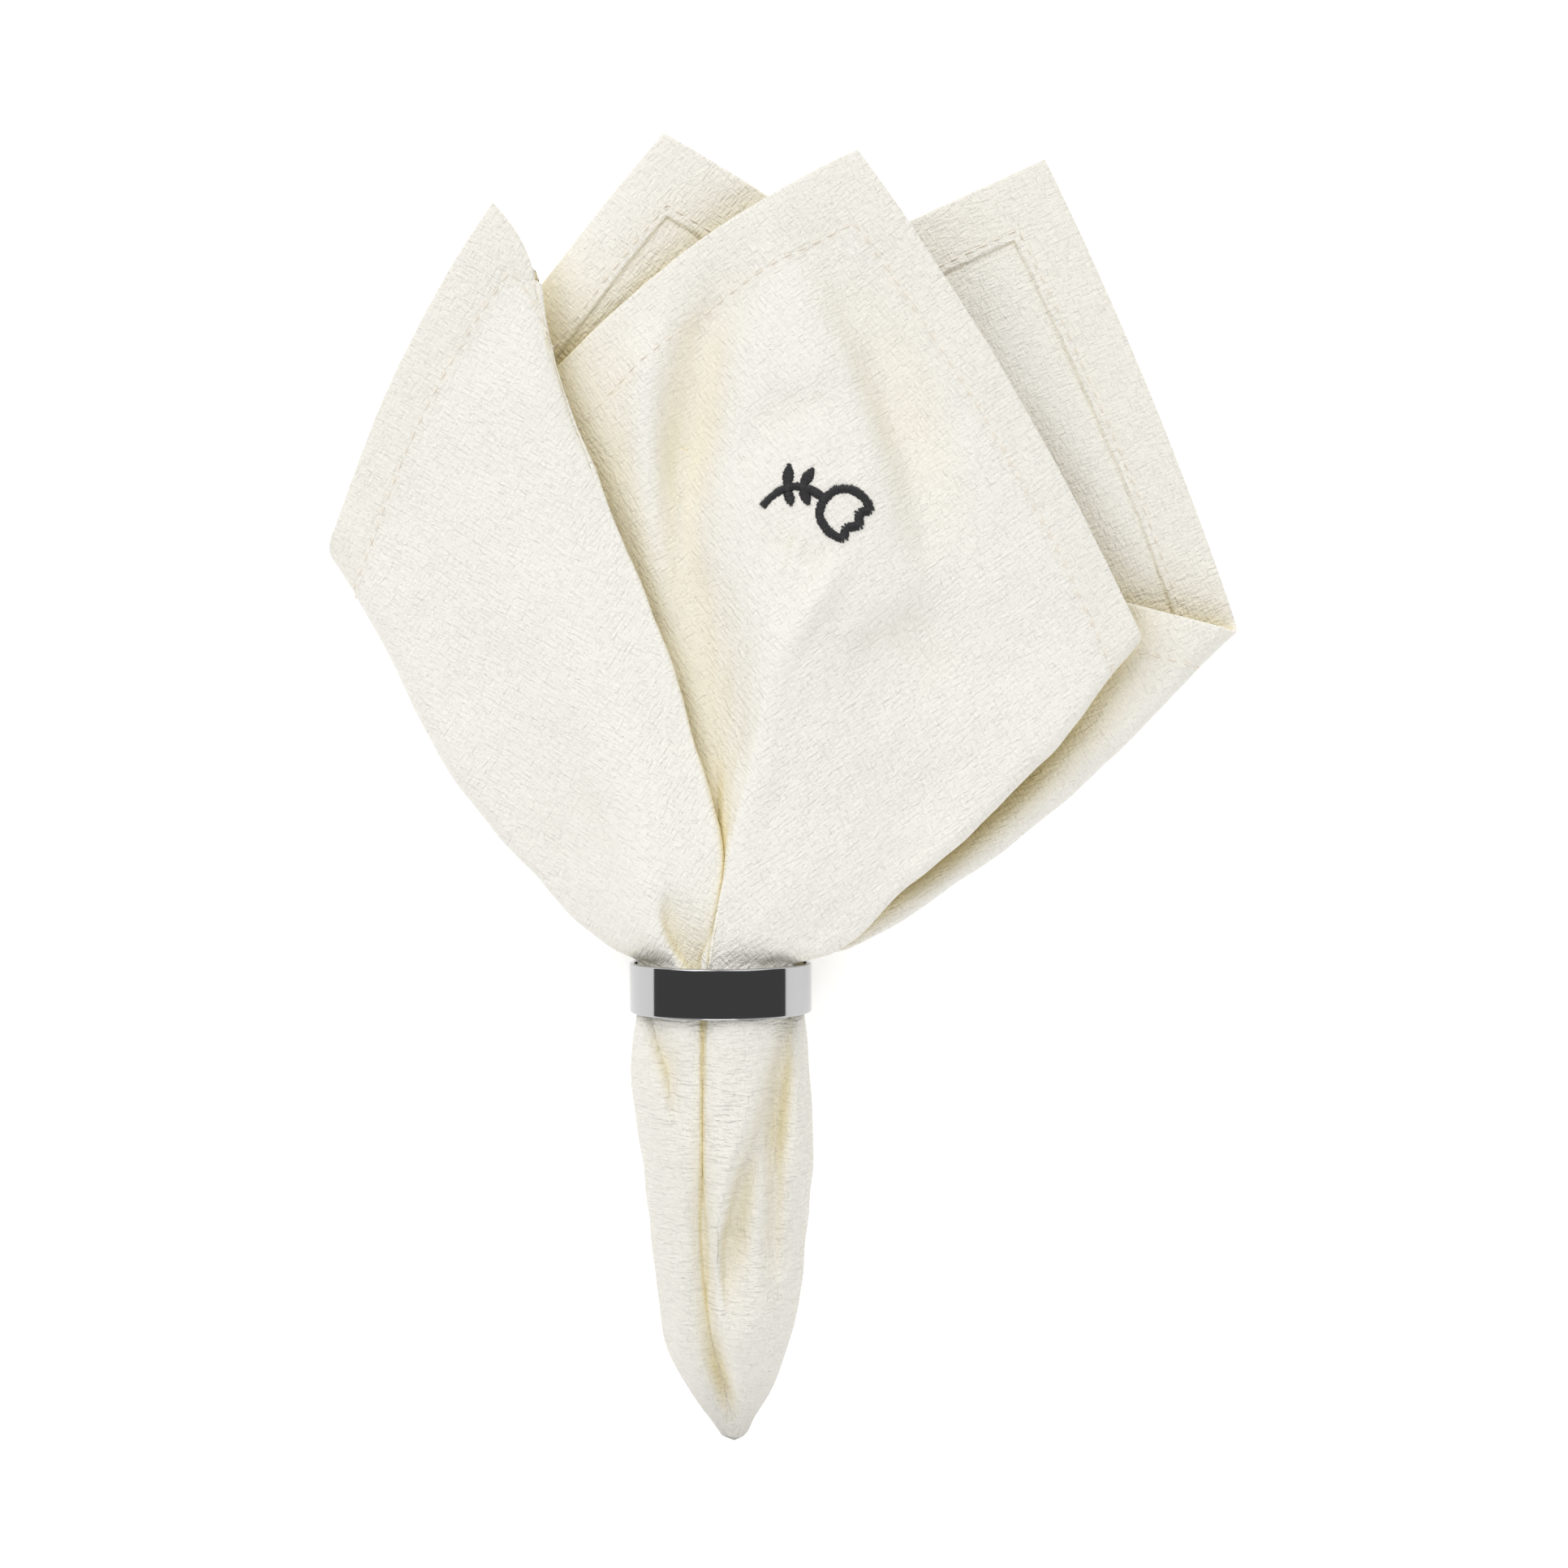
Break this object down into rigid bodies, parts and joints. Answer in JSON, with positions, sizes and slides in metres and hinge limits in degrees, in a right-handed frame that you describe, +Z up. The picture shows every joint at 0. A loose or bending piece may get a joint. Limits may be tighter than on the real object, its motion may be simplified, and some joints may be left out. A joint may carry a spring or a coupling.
{
  "type": "cloth napkin in a napkin ring",
  "caption": "Off-white cotton dinner napkin with a turned hem and a small embroidered sprig, pinched at its middle and drawn through a polished metal ring, its corners fanned out.",
  "frame": {"origin": "middle of the outline seen from above, on the surface the napkin lies on", "axes": "+Z up, +Y from the gathered tip through the ring to the fanned corners, +X to the right seen from above"},
  "size_m": [0.2254, 0.328, 0.0444],
  "materials": {
    "cloth": "matt crinkled cotton",
    "ring_metal": "polished"
  },
  "bodies": {
    "root": {"napkin": "cloth", "ring": "ring_metal"}
  },
  "joints": []
}
